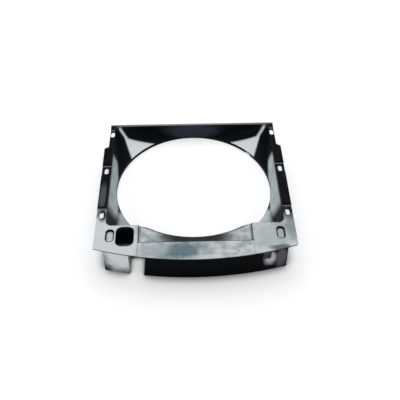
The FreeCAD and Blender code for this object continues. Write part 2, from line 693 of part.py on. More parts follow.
def main():
    """Build every piece, set the origin, test the shapes and write the STEP files."""
    parts = [build_plenum_shell(), build_lower_panel()]
    for side, word in zip(SIDES, ("left", "right")):
        for land, place in zip(LANDS, ("lower", "upper")):
            parts.append(build_seal(f"{place}_{word}_seal", side, land))
    parts.append(build_push_nuts())
    doc.recompute()
    boxes = [part.Shape.optimalBoundingBox(False, False) for part in parts]
    middle = (min(b.YMin for b in boxes) + max(b.YMax for b in boxes)) / 2
    sheet.set(f"B{SHIFT_LINE}", str(-middle))
    sheet.set(f"B{SHIFT_LINE + 1}", str(-min(b.ZMin for b in boxes)))
    doc.recompute()
    for item in doc.Objects:
        if "Invalid" in item.State or "Error" in item.State:
            raise RuntimeError(f"{item.Name} failed: {item.State}")
    for part in parts:
        shape = part.Shape
        if shape.isNull() or not shape.isValid():
            raise RuntimeError(f"{part.Label} has no sound shape")
        box = shape.BoundBox
        print(f"{part.Label}: {len(shape.Solids)} solids, {shape.Volume / 1000:.1f} cm3, "
              f"{box.XLength:.1f} x {box.YLength:.1f} x {box.ZLength:.1f} mm")
        shape.exportStep(f"parts/{part.Label}.step")


main()
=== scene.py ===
"""Looks of the radiator fan shroud: finishes for its moulded shell and panel, foam strips,
push nuts and corner webs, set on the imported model."""

import json
import logging
import math
from dataclasses import dataclass
from enum import Enum
from functools import cached_property
from typing import Callable, Sequence

import bpy
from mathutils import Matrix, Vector


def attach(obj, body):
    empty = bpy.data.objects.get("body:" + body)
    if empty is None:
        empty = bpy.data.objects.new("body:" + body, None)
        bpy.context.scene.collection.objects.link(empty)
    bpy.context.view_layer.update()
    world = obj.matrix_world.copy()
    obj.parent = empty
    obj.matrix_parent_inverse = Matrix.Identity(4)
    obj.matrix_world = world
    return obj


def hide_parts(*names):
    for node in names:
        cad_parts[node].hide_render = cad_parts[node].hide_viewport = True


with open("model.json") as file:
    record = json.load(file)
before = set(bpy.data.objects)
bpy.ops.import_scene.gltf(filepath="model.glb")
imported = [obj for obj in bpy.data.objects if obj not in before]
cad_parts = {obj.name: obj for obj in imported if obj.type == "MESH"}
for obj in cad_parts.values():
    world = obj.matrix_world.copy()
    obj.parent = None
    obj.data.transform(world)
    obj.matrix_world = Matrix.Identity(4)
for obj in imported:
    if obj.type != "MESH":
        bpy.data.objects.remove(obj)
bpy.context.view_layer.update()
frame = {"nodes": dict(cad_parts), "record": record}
logging.basicConfig(level=logging.INFO, format="%(message)s")
log = logging.getLogger("fan_shroud")

BODY = "root"
MM = 0.001
RING_Y = 0.0502
Colour = tuple[float, float, float]
Spot = tuple[float, float, float]
Span = tuple[float, float]
Socket = bpy.types.NodeSocket


class Light(Enum):
    """Soft studio lamps, by their place round the shroud."""

    OVERHEAD = "overhead"
    LEFT = "left"
    RIGHT = "right"
    FRONT = "front"


# --------------------------------------------------------------------------- node helpers


class Wiring:
    """Small helper that adds and links nodes in one material's or group's tree."""

    LINE_CORE: float = 0.4
    # Sockets of a colour mix: its factor, its two colours and its result.
    MIX_INPUTS: tuple[int, int, int] = (0, 6, 7)
    MIX_RESULT: int = 2

    def __init__(self, tree: bpy.types.NodeTree) -> None:
        """Keep the tree that the nodes go into.

        Args:
            tree: node tree of a material or a group.
        """
        self.tree = tree

    def node(self, kind: str, **settings: object) -> bpy.types.Node:
        """Add a node.

        Args:
            kind: the node's type name.
            settings: values of the node's own properties.

        Returns:
            The new node.
        """
        made = self.tree.nodes.new(kind)
        for name, setting in settings.items():
            setattr(made, name, setting)
        return made

    def link(self, source: Socket, target: Socket) -> None:
        """Join an output to an input."""
        self.tree.links.new(source, target)

    def feed(self, target: Socket, source: object) -> None:
        """Link a socket, or set its default where a number or colour is given.

        Args:
            target: input socket.
            source: output socket, number or colour.
        """
        if isinstance(source, Socket):
            self.link(source, target)
        else:
            target.default_value = (*source, 1.0) if isinstance(source, tuple) else source

    def noise(self, where: Socket, scale: object, detail: float, roughness: float) -> Socket:
        """Noise value at a scale.

        Args:
            where: vector socket.
            scale: cells per metre.
            detail: octaves.
            roughness: strength of the finer octaves.

        Returns:
            The noise's factor socket.
        """
        made = self.node("ShaderNodeTexNoise")
        self.feed(made.inputs["Scale"], scale)
        made.inputs["Detail"].default_value = detail
        made.inputs["Roughness"].default_value = roughness
        self.link(where, made.inputs["Vector"])
        return made.outputs["Fac"]

    def band(self, source: object, low: object, high: object) -> Socket:
        """Smooth step from 0 at low to 1 at high.

        Args:
            source: value to map.
            low: where the step starts.
            high: where it ends; it may be below low.

        Returns:
            The mapped value's socket.
        """
        made = self.node("ShaderNodeMapRange", interpolation_type="SMOOTHSTEP")
        self.feed(made.inputs["Value"], source)
        self.feed(made.inputs["From Min"], low)
        self.feed(made.inputs["From Max"], high)
        return made.outputs["Result"]

    def maths(self, operation: str, first: object, second: object = 0.0) -> Socket:
        """Arithmetic on two values.

        Args:
            operation: name of the Math node's operation.
            first: first operand.
            second: second operand.

        Returns:
            The result's socket.
        """
        made = self.node("ShaderNodeMath", operation=operation)
        self.feed(made.inputs[0], first)
        self.feed(made.inputs[1], second)
        return made.outputs[0]

    def vector(self, operation: str, first: Socket, second: Socket | None = None,
               result: str = "Vector") -> Socket:
        """Arithmetic on two vectors.

        Args:
            operation: name of the Vector Math node's operation.
            first: first operand.
            second: second operand, where there is one.
            result: name of the output to take.

        Returns:
            The result's socket.
        """
        made = self.node("ShaderNodeVectorMath", operation=operation)
        self.link(first, made.inputs[0])
        if second is not None:
            self.link(second, made.inputs[1])
        return made.outputs[result]

    def product(self, first: Socket, *others: object) -> Socket:
        """Values multiplied in order.

        Args:
            first: first value.
            others: the values after it.

        Returns:
            The product's socket.
        """
        for other in others:
            first = self.maths("MULTIPLY", first, other)
        return first

    def most(self, first: Socket, *others: object) -> Socket:
        """Largest of several values.

        Args:
            first: first value.
            others: the values after it.

        Returns:
            The largest value's socket.
        """
        for other in others:
            first = self.maths("MAXIMUM", first, other)
        return first

    def at_least(self, source: Socket, least: float) -> Socket:
        """Squeeze a value between 0 and 1 so that it starts at a least value."""
        return self.maths("ADD", self.product(source, 1.0 - least), least)

    def distance(self, across: Socket, along: Socket) -> Socket:
        """Distance in a plane from its two parts."""
        return self.maths("SQRT", self.maths("ADD", self.product(across, across),
                                             self.product(along, along)))

    def line(self, source: Socket, centre: float, half: float) -> Socket:
        """Thin soft line where a value is close to its centre.

        Args:
            source: value to map.
            centre: the line's middle.
            half: half of its width.

        Returns:
            The line's mask.
        """
        off = self.maths("ABSOLUTE", self.maths("SUBTRACT", source, centre))
        return self.band(off, half, half * self.LINE_CORE)

    def blend(self, factor: object, first: object, second: object) -> Socket:
        """Mix two colours.

        Args:
            factor: share of the second colour.
            first: colour at 0.
            second: colour at 1.

        Returns:
            The mixed colour's socket.
        """
        made = self.node("ShaderNodeMix", data_type="RGBA")
        for number, source in zip(self.MIX_INPUTS, (factor, first, second)):
            self.feed(made.inputs[number], source)
        return made.outputs[self.MIX_RESULT]

    def mix_shaders(self, factor: Socket, first: Socket, second: Socket, sink: str) -> None:
        """Mix two shaders into the tree's output.

        Args:
            factor: share of the second shader.
            first: shader at 0.
            second: shader at 1.
            sink: name of the output node.
        """
        mix = self.node("ShaderNodeMixShader")
        for number, source in enumerate((factor, first, second)):
            self.link(source, mix.inputs[number])
        self.link(mix.outputs["Shader"], self.tree.nodes[sink].inputs["Surface"])


class Axes:
    """The three parts of a vector socket."""

    def __init__(self, wires: Wiring, vector: Socket) -> None:
        """Split the vector.

        Args:
            wires: the material's wiring helper.
            vector: socket to split.
        """
        split = wires.node("ShaderNodeSeparateXYZ")
        wires.link(vector, split.inputs[0])
        self.x, self.y, self.z = split.outputs["X"], split.outputs["Y"], split.outputs["Z"]


def new_group(name: str, inputs: Sequence[tuple[str, str, object]],
              outputs: Sequence[tuple[str, str]],
              fill: Callable[[Wiring, dict, dict], None]) -> bpy.types.NodeTree:
    """Shader node group with named inputs and outputs.

    Args:
        name: the group's name.
        inputs: name, socket type and default of each input.
        outputs: name and socket type of each output.
        fill: function that wires the group from its input to its output sockets.

    Returns:
        The group's tree.
    """
    tree = bpy.data.node_groups.new(name, "ShaderNodeTree")
    for label, kind, default in inputs:
        socket = tree.interface.new_socket(name=label, in_out="INPUT", socket_type=kind)
        if default is not None:
            socket.default_value = default
    for label, kind in outputs:
        tree.interface.new_socket(name=label, in_out="OUTPUT", socket_type=kind)
    wires = Wiring(tree)
    source, sink = wires.node("NodeGroupInput"), wires.node("NodeGroupOutput")
    fill(wires, {label: source.outputs[label] for label, _, _ in inputs},
         {label: sink.inputs[label] for label, _ in outputs})
    return tree


class Effects:
    """Node groups that several finishes share: mould grain, scuffs, patches, and an edge mask that
    the shell paints as pale abraded edges and the panel as painted shade.
    """

    NOISE_MIDDLE: float = 0.5
    RAGGED_CELLS: float = 45.0
    PATCH_EDGE: Span = (1.0, 0.35)
    EDGE_TURN: Span = (0.995, 0.86)
    EDGE_BREAKS: Span = (0.35, 0.55)
    RIPPLE_CELLS: float = 22.0
    RIPPLE_HEIGHT: float = 1.5
    SCUFF_BELOW: float = 0.18
    SCUFF_ABOVE: float = 0.12
    FLECK_CELLS: float = 260.0
    FLECK_EDGE: Span = (0.62, 0.72)

    def __init__(self) -> None:
        """Build each group once."""
        vector, number = "NodeSocketVector", "NodeSocketFloat"
        self.grain = new_group(
            "mould_grain", [("Place", vector, None), ("Size", number, 900.0)],
            [("Height", number)], self._grain)
        self.scuffs = new_group(
            "rub_marks",
            [("Place", vector, None), ("Size", number, 40.0), ("Spread", number, 0.5)],
            [("Mask", number), ("Flecks", number)], self._scuffs)
        self.patch = new_group(
            "soft_patch",
            [("Place", vector, None), ("Centre", vector, None), ("Reach", vector, (0.1, 0.1, 0.1)),
             ("Ragged", number, 0.0)],
            [("Mask", number)], self._patch)
        self.edge_marks = new_group(
            "edge_wear_and_shade",
            [("Place", vector, None), ("Radius", number, 0.0015), ("Break", number, 60.0)],
            [("Mask", number)], self._edge_marks)

    def _patch(self, wires: Wiring, given: dict, out: dict) -> None:
        """Soft rounded patch about a centre, with an edge that noise makes ragged.

        Args:
            wires: the group's wiring helper.
            given: its input sockets by name.
            out: its output sockets by name.
        """
        away = wires.vector("SUBTRACT", given["Place"], given["Centre"])
        share = wires.vector("DIVIDE", away, given["Reach"])
        length = wires.vector("LENGTH", share, result="Value")
        cloud = wires.noise(given["Place"], self.RAGGED_CELLS, detail=5.0, roughness=0.6)
        shift = wires.product(wires.maths("SUBTRACT", cloud, self.NOISE_MIDDLE),
                              given["Ragged"])
        wires.link(wires.band(wires.maths("ADD", length, shift), *self.PATCH_EDGE), out["Mask"])

    def _edge_marks(self, wires: Wiring, given: dict, out: dict) -> None:
        """Broken line along edges, where a rounded normal leaves the flat one: pale abrasion on
        the shell, a dark painted shade line on the panel.

        Args:
            wires: the group's wiring helper.
            given: its input sockets by name.
            out: its output sockets by name.
        """
        rounded = wires.node("ShaderNodeBevel", samples=4)
        wires.link(given["Radius"], rounded.inputs["Radius"])
        flat = wires.node("ShaderNodeNewGeometry")
        match = wires.vector("DOT_PRODUCT", rounded.outputs["Normal"], flat.outputs["Normal"],
                             result="Value")
        breaks = wires.noise(given["Place"], given["Break"], detail=2.0, roughness=0.5)
        wires.link(wires.product(wires.band(match, *self.EDGE_TURN),
                                 wires.band(breaks, *self.EDGE_BREAKS)), out["Mask"])

    def _grain(self, wires: Wiring, given: dict, out: dict) -> None:
        """Fine spark-eroded grain over a slow ripple.

        Args:
            wires: the group's wiring helper.
            given: its input sockets by name.
            out: its output sockets by name.
        """
        fine = wires.noise(given["Place"], given["Size"], detail=3.0, roughness=0.5)
        ripple = wires.noise(given["Place"], self.RIPPLE_CELLS, detail=2.0, roughness=0.55)
        wires.link(wires.maths("ADD", fine, wires.product(ripple, self.RIPPLE_HEIGHT)),
                   out["Height"])

    def _scuffs(self, wires: Wiring, given: dict, out: dict) -> None:
        """Cloudy rubbed areas and small pale flecks.

        Args:
            wires: the group's wiring helper.
            given: its input sockets by name.
            out: its output sockets by name.
        """
        cloud = wires.noise(given["Place"], given["Size"], detail=7.0, roughness=0.62)
        low = wires.maths("SUBTRACT", 1.0, given["Spread"])
        wires.link(wires.band(cloud, wires.maths("SUBTRACT", low, self.SCUFF_BELOW),
                              wires.maths("ADD", low, self.SCUFF_ABOVE)), out["Mask"])
        flecks = wires.noise(given["Place"], self.FLECK_CELLS, detail=2.0, roughness=0.7)
        wires.link(wires.band(flecks, *self.FLECK_EDGE), out["Flecks"])


# ------------------------------------------------------------------------------- finishes


@dataclass(frozen=True)
class Patch:
    """One soft patch of a second colour on a moulding."""

    centre: Spot
    reach: tuple[float, float, float]
    colour: Colour
    strength: float = 1.0
    ragged: float = 0.4


class Surface:
    """A new material with its shader and the places and directions that its masks read."""

    def __init__(self, name: str, effects: Effects) -> None:
        """Make the material.

        Args:
            name: the material's name.
            effects: the shared node groups.
        """
        self.material = bpy.data.materials.new(name)
        self.material.use_nodes = True
        self.effects = effects
        self.wires = Wiring(self.material.node_tree)
        self.shader = self.wires.tree.nodes["Principled BSDF"]
        coordinates = self.wires.node("ShaderNodeTexCoord")
        self.place = coordinates.outputs["Object"]
        self.normal = coordinates.outputs["Normal"]

    @cached_property
    def spot(self) -> Axes:
        """Parts of the point's place."""
        return Axes(self.wires, self.place)

    @cached_property
    def facing(self) -> Axes:
        """Parts of the point's normal."""
        return Axes(self.wires, self.normal)

    @cached_property
    def side(self) -> Socket:
        """The point's distance from the shroud's middle plane."""
        return self.wires.maths("ABSOLUTE", self.spot.x)

    @cached_property
    def outward(self) -> Socket:
        """How far the point faces away from the middle plane."""
        return self.wires.product(self.wires.maths("SIGN", self.spot.x), self.facing.x)

    def effect(self, group: bpy.types.NodeTree,
               **settings: object) -> bpy.types.bpy_prop_collection:
        """Add a shared effect.

        Args:
            group: its node group.
            settings: values of the group's inputs.

        Returns:
            Its outputs.
        """
        made = self.wires.node("ShaderNodeGroup", node_tree=group)
        self.wires.link(self.place, made.inputs["Place"])
        for name, setting in settings.items():
            made.inputs[name].default_value = setting
        return made.outputs

    def patched(self, under: Socket, patch: Patch) -> Socket:
        """Lay a soft patch of colour over another colour.

        Args:
            under: colour socket below the patch.
            patch: where and what it is.

        Returns:
            The covered colour's socket.
        """
        made = self.effect(self.effects.patch, Centre=patch.centre, Reach=patch.reach,
                           Ragged=patch.ragged)
        return self.wires.blend(self.wires.product(made["Mask"], patch.strength), under,
                                patch.colour)

    def shade(self, colour: Socket, roughness: object, shine: float) -> None:
        """Set the shader's main inputs.

        Args:
            colour: base colour.
            roughness: number or socket.
            shine: specular level.
        """
        self.wires.link(colour, self.shader.inputs["Base Color"])
        self.wires.feed(self.shader.inputs["Roughness"], roughness)
        self.shader.inputs["Specular IOR Level"].default_value = shine

    def grain(self, size: float, depth: float) -> None:
        """Bump of mould grain.

        Args:
            size: grains per metre.
            depth: height of the grain, metres.
        """
        bump = self.wires.node("ShaderNodeBump")
        bump.inputs["Distance"].default_value = depth
        grain = self.effect(self.effects.grain, Size=size)
        self.wires.link(grain["Height"], bump.inputs["Height"])
        self.wires.link(bump.outputs["Normal"], self.shader.inputs["Normal"])


@dataclass(frozen=True)
class WallPaintedReflection:
    """Painted reflection: grey on the duct's two side walls, where they would mirror the white
    floor, ending on a slant above and at the foot.
    """

    turn: Span = (0.62, 0.84)
    top: Span = (0.158, 0.132)
    slope: float = 0.45
    slant: Span = (-0.010, 0.006)
    foot: Span = (-0.108, -0.052)
    inner: Span = (0.2525, 0.2495)

    def mask(self, surface: Surface) -> Socket:
        """Where the painted reflection lies.

        Args:
            surface: the shell's surface.

        Returns:
            The mask's socket.
        """
        wires, spot = surface.wires, surface.spot
        rise = wires.maths("SUBTRACT", spot.z, wires.product(spot.y, self.slope))
        upright = wires.band(surface.outward, -self.turn[0], -self.turn[1])
        brow = wires.product(wires.band(spot.y, *self.top), wires.band(rise, *self.slant),
                             wires.band(spot.y, *self.foot))
        return wires.product(upright, brow, wires.band(surface.side, *self.inner))


@dataclass(frozen=True)
class CornerPaintedLight:
    """Painted light where the duct's lower corners flatten out to the ring and turn up to the
    lamps.
    """

    turn: Span = (0.52, 0.90)
    top: Span = (-0.035, -0.060)
    depth: Span = (0.060, 0.040)
    inner: Span = (0.2525, 0.2495)

    def mask(self, surface: Surface) -> Socket:
        """Where the painted light lies.

        Args:
            surface: the shell's surface.

        Returns:
            The mask's socket.
        """
        wires, spot = surface.wires, surface.spot
        return wires.product(
            wires.band(surface.facing.z, *self.turn), wires.band(spot.y, *self.top),
            wires.band(spot.z, *self.depth), wires.band(surface.side, *self.inner))


@dataclass(frozen=True)
class OuterChalkAndSheen:
    """Chalky dust on the shell's outer and engine-side faces, with a painted sheen: these faces
    are lighter so that their shape shows.
    """

    below: Span = (-0.02, -0.25)
    outward: Span = (0.15, 0.50)
    upward: Span = (0.2, 0.6)
    upper_end: Span = (0.02, 0.08)
    least: float = 0.4

    def mask(self, surface: Surface, cloud: Socket) -> Socket:
        """Where the chalky dust and painted sheen lie.

        Args:
            surface: the shell's surface.
            cloud: noise that thins it.

        Returns:
            The mask's socket.
        """
        wires = surface.wires
        back = wires.product(wires.band(surface.facing.y, *self.upward),
                             wires.band(surface.spot.y, *self.upper_end))
        shown = wires.most(wires.band(surface.facing.z, *self.below),
                           wires.band(surface.outward, *self.outward), back)
        return wires.product(shown, wires.at_least(cloud, self.least))


@dataclass(frozen=True)
class ValleyHighlight:
    """Painted highlight: a pale fan that widens from each upper corner down its valley to the
    ring, where the valley turns up to the lamps.
    """

    corner: Span = (0.2395, 0.281)
    heading: Span = (0.688, 0.725)
    opens: float = 0.034
    upper_spread: float = 0.88
    upper_half: float = 0.0062
    upper_edge: Span = (-0.0030, 0.0070)
    lower_spread: float = 0.465
    lower_start: float = 0.0070
    lower_half: float = 0.0055
    lower_edge: Span = (-0.0020, 0.0060)
    begins: Span = (-0.006, 0.004)
    turn: Span = (0.35, 0.60)

    def mask(self, surface: Surface) -> Socket:
        """Where the painted highlight lies.

        Args:
            surface: the shell's surface.

        Returns:
            The mask's socket.
        """
        wires = surface.wires
        (corner_x, corner_y), (out_share, down_share) = self.corner, self.heading
        out = wires.maths("SUBTRACT", corner_x, surface.side)
        down = wires.maths("SUBTRACT", corner_y, surface.spot.y)
        along = wires.maths("ADD", wires.product(out, out_share), wires.product(down, down_share))
        across = wires.maths("SUBTRACT", wires.product(out, down_share),
                             wires.product(down, out_share))
        widened = wires.product(wires.maths("SUBTRACT", along, self.opens), self.upper_spread)
        high = wires.maths("ADD", wires.most(widened, 0.0), self.upper_half)
        lowered = wires.maths("SUBTRACT", wires.product(along, self.lower_spread),
                              self.lower_start)
        low = wires.product(wires.most(lowered, self.lower_half), -1.0)
        upper = wires.band(wires.maths("SUBTRACT", high, across), *self.upper_edge)
        lower = wires.band(wires.maths("SUBTRACT", across, low), *self.lower_edge)
        return wires.product(upper, lower, wires.band(along, *self.begins),
                             wires.band(surface.facing.z, *self.turn))


@dataclass(frozen=True)
class EdgeWearAndHighlights:
    """Painted highlights on the little steps across the side flanges and along the top rim, with
    faint pale abrasion on other edges.
    """

    radius: float = 0.0012
    step_turn: Span = (-0.5, -0.9)
    step_side: Span = (0.252, 0.254)
    step_height: Span = (0.0925, 0.0945)
    rim_y: Span = (0.284, 0.287)
    rim_height: Span = (0.0940, 0.0955)
    rim_strength: float = 0.72
    edge_strength: float = 0.12

    def mask(self, surface: Surface) -> Socket:
        """Where the painted highlights and the abraded edges lie.

        Args:
            surface: the shell's surface.

        Returns:
            The mask's socket.
        """
        wires, spot = surface.wires, surface.spot
        edge_marks = surface.effect(surface.effects.edge_marks, Radius=self.radius)
        # Painted highlight on the step faces turned forward.
        step = wires.product(wires.band(surface.facing.y, *self.step_turn),
                             wires.band(surface.side, *self.step_side),
                             wires.band(spot.z, *self.step_height))
        # Painted highlight along the top rim.
        rim = wires.product(wires.band(spot.y, *self.rim_y),
                            wires.band(spot.z, *self.rim_height), self.rim_strength)
        return wires.most(step, rim, wires.product(edge_marks["Mask"], self.edge_strength))


@dataclass(frozen=True)
class ShellFinish:
    """Satin black polypropylene with painted light: grey painted reflections and painted light on
    the duct's walls and lower corners, pale painted highlights fanning down its two upper corners.
    """

    name: str = "shell_plastic"
    black: Colour = (0.0016, 0.0021, 0.0030)
    # Grey of the painted reflections and painted light in the duct.
    painted_light: Colour = (0.42, 0.47, 0.49)
    # Pale colour of the painted highlights down the upper corner valleys.
    fan: Colour = (0.53, 0.56, 0.58)
    # Colour of the painted highlights on the flange steps and top rim, and of the abraded edges.
    highlight_and_abrasion: Colour = (0.34, 0.36, 0.38)
    # Pale tone of the painted sheen and chalky dust on outer faces.
    chalk_and_sheen: Colour = (0.034, 0.036, 0.039)
    roughness: float = 0.40
    painted_light_roughness: float = 0.25
    shine: float = 0.025
    cloud_cells: float = 30.0
    cloud_edge: Span = (0.2, 0.75)
    painted_light_least: float = 0.65
    lean: Span = (-0.1, 0.1)
    lean_least: float = 0.78
    patches: tuple[Patch, ...] = (
        # Painted reflection: a faint bluish light across the middle of the far wall.
        Patch((0.0, 0.290, 0.066), (0.14, 0.012, 0.06), (0.024, 0.031, 0.040)),
        # Painted light: pale grey on the left leg's face, as bright as the lit floor beside it.
        Patch((-0.212, -0.256, 0.070), (0.075, 0.030, 0.088), (0.66, 0.68, 0.70), 1.0, 0.45),
        # Painted highlight: a pale spot on the skirt near its right end.
        Patch((0.206, -0.256, 0.050), (0.023, 0.020, 0.036), (0.42, 0.43, 0.44), 1.0, 0.7),
        # Painted sheen: dim grey on the right leg.
        Patch((0.238, -0.251, 0.045), (0.022, 0.020, 0.060), (0.085, 0.088, 0.092)),
    )

    def build(self, effects: Effects) -> bpy.types.Material:
        """Make the material.

        Args:
            effects: the shared node groups.

        Returns:
            The material.
        """
        surface = Surface(self.name, effects)
        wires = surface.wires
        # Painted reflection on the side walls and painted light on the lower corners.
        painted_light = wires.most(WallPaintedReflection().mask(surface), CornerPaintedLight().mask(surface))
        # Painted highlight down each upper corner valley.
        fan = ValleyHighlight().mask(surface)
        noise = wires.noise(surface.place, self.cloud_cells, detail=6.0, roughness=0.6)
        cloud = wires.band(noise, *self.cloud_edge)
        # Painted light is weaker on the left side than on the right.
        lean = wires.at_least(wires.band(surface.spot.x, *self.lean), self.lean_least)
        thin = wires.product(painted_light, wires.at_least(cloud, self.painted_light_least), lean)
        # Painted sheen with chalky dust on outer, under and back faces.
        colour = wires.blend(OuterChalkAndSheen().mask(surface, cloud), self.black, self.chalk_and_sheen)
        colour = wires.blend(thin, colour, self.painted_light)
        colour = wires.blend(fan, colour, self.fan)
        for patch in self.patches:
            colour = surface.patched(colour, patch)
        # Painted highlights on the flange steps and top rim, and abraded edges.
        colour = wires.blend(EdgeWearAndHighlights().mask(surface), colour, self.highlight_and_abrasion)
        dull = wires.product(wires.most(painted_light, fan), self.painted_light_roughness)
        surface.shade(colour, wires.maths("ADD", dull, self.roughness), self.shine)
        surface.grain(size=700.0, depth=0.00006)
        return surface.material


@dataclass(frozen=True)
class PanelShadeLines:
    """Painted shade: dark lines along the crease and the joggles, a dark margin along the fan
    cut-out, and a darker recess between the joggles.
    """

    cut_y: float = RING_Y
    cut_radius: float = 0.250
    margin: Span = (0.016, 0.002)
    crease_y: float = -0.2264
    joggle_x: float = 0.160
    joggle_inset: float = 0.002
    joggle_strength: float = 0.8
    half: float = 0.0022
    soft: float = 0.001
    recess_shade: Span = (0.140, 0.050)
    recess_shade_strength: float = 0.90

    def mask(self, surface: Surface) -> Socket:
        """Where the painted shade lies.

        Args:
            surface: the panel's surface.

        Returns:
            The mask's socket.
        """
        wires, spot, side = surface.wires, surface.spot, surface.side
        middle = wires.band(side, self.joggle_x + self.soft, self.joggle_x - self.soft)
        above = wires.band(spot.y, self.crease_y - self.soft, self.crease_y + self.soft)
        # Painted shade lines on the crease and the joggles.
        crease = wires.product(wires.line(spot.y, self.crease_y, self.half), middle)
        joggle = wires.product(wires.line(side, self.joggle_x - self.joggle_inset, self.half),
                               above, self.joggle_strength)
        away = wires.distance(spot.x, wires.maths("SUBTRACT", spot.y, self.cut_y))
        far, near = self.margin
        margin = wires.product(wires.band(away, self.cut_radius + far, self.cut_radius + near),
                               middle)
        # Painted shade over the recess between the joggles.
        recess_shade = wires.product(wires.band(side, *self.recess_shade), above, self.recess_shade_strength)
        return wires.most(crease, joggle, margin, recess_shade)


@dataclass(frozen=True)
class SocketShadeRims:
    """Painted shade: dark rim just inside the wall of each blind socket, where the wall shades its
    floor.
    """

    centre: Span = (0.2375, -0.2004)
    radius: float = 0.0105
    straight: float = 0.0115
    half: float = 0.0030

    def mask(self, surface: Surface) -> Socket:
        """Where the rims run.

        Args:
            surface: the panel's surface.

        Returns:
            The mask's socket.
        """
        wires = surface.wires
        centre_x, centre_y = self.centre
        across = wires.maths("SUBTRACT", surface.side, centre_x)
        along = wires.maths("ABSOLUTE", wires.maths("SUBTRACT", surface.spot.y, centre_y))
        beyond = wires.most(wires.maths("SUBTRACT", along, self.straight), 0.0)
        return wires.line(wires.distance(across, beyond), self.radius, self.half)


@dataclass(frozen=True)
class PanelFinish:
    """Closing panel: grey on faces that look up and black elsewhere, with cloudy scuffs, patches
    and flecks, and painted shade along its crease, joggles, cut-out margin, recess, sockets and
    edges.
    """

    name: str = "panel_plastic"
    pale: Colour = (0.465, 0.500, 0.510)
    dull: Colour = (0.220, 0.255, 0.265)
    # Dark colour of the painted shade lines and edges, and of faces that do not look up.
    edge: Colour = (0.008, 0.009, 0.010)
    roughness: float = 0.5
    shine: float = 0.06
    scuff_cells: float = 34.0
    scuff_strength: float = 0.85
    smooth_end: Span = (-0.150, -0.180)
    smooth_strength: float = 0.85
    fleck_strength: float = 0.35
    outline_radius: float = 0.0028
    outline_breaks: float = 2.0
    outline_strength: float = 0.85
    top_turn: Span = (0.45, 0.80)
    patches: tuple[Patch, ...] = (
        Patch((0.212, -0.215, 0.095), (0.075, 0.060, 0.03), (0.330, 0.355, 0.365), 0.85, 0.5),
        Patch((-0.038, -0.260, 0.095), (0.088, 0.042, 0.03), (0.085, 0.125, 0.145), 0.95, 0.8),
        Patch((0.000, -0.205, 0.090), (0.135, 0.034, 0.03), (0.025, 0.034, 0.037), 0.95, 0.3),
        Patch((0.235, -0.256, 0.095), (0.046, 0.014, 0.03), (0.07, 0.09, 0.10), 0.9, 1.2),
        Patch((0.272, -0.170, 0.095), (0.026, 0.080, 0.03), (0.16, 0.18, 0.18), 0.85, 0.4),
        Patch((0.268, -0.097, 0.095), (0.070, 0.066, 0.03), (0.003, 0.004, 0.005), 1.0, 0.25),
        Patch((-0.275, -0.112, 0.095), (0.026, 0.030, 0.03), (0.17, 0.18, 0.19), 0.9, 0.3),
        Patch((-0.262, -0.121, 0.095), (0.019, 0.036, 0.03), (0.008, 0.010, 0.012), 1.0, 0.2),
        Patch((-0.110, -0.255, 0.095), (0.055, 0.030, 0.03), (0.27, 0.31, 0.33), 0.85, 0.7),
    )

    def build(self, effects: Effects) -> bpy.types.Material:
        """Make the material.

        Args:
            effects: the shared node groups.

        Returns:
            The material.
        """
        surface = Surface(self.name, effects)
        wires = surface.wires
        scuffs = surface.effect(effects.scuffs, Size=self.scuff_cells)
        marked = wires.blend(wires.product(scuffs["Mask"], self.scuff_strength), self.dull,
                           self.pale)
        smooth = wires.product(wires.band(surface.spot.x, *self.smooth_end),
                               self.smooth_strength)
        marked = wires.blend(smooth, marked, self.pale)
        for patch in self.patches:
            marked = surface.patched(marked, patch)
        marked = wires.blend(wires.product(scuffs["Flecks"], self.fleck_strength), marked, self.pale)
        # Painted shade along the crease, joggles, cut-out margin, recess and socket rims.
        lines = wires.most(PanelShadeLines().mask(surface), SocketShadeRims().mask(surface))
        marked = wires.blend(lines, marked, self.edge)
        # Painted shade: a broken dark line along the panel's edges.
        outline = surface.effect(effects.edge_marks, Radius=self.outline_radius,
                                 Break=self.outline_breaks)
        marked = wires.blend(wires.product(outline["Mask"], self.outline_strength), marked,
                           self.edge)
        top = wires.band(surface.facing.z, *self.top_turn)
        surface.shade(wires.blend(top, self.edge, marked), self.roughness, self.shine)
        surface.grain(size=600.0, depth=0.00008)
        return surface.material


@dataclass(frozen=True)
class FoamFinish:
    """Matte black closed-cell foam."""

    name: str = "seal_foam"
    black: Colour = (0.0016, 0.0021, 0.0028)
    marked: Colour = (0.0060, 0.0070, 0.0080)
    scuff_cells: float = 60.0
    roughness: float = 0.9
    shine: float = 0.04
    # A paler bluish patch on the lower part of the left strip.
    paler_patch: Patch = Patch((-0.268, -0.050, 0.102), (0.014, 0.070, 0.02), (0.050, 0.064, 0.076))

    def build(self, effects: Effects) -> bpy.types.Material:
        """Make the material.

        Args:
            effects: the shared node groups.

        Returns:
            The material.
        """
        surface = Surface(self.name, effects)
        scuffs = surface.effect(effects.scuffs, Size=self.scuff_cells)
        colour = surface.wires.blend(scuffs["Mask"], self.black, self.marked)
        surface.shade(surface.patched(colour, self.paler_patch), self.roughness, self.shine)
        surface.grain(size=1100.0, depth=0.0003)
        return surface.material


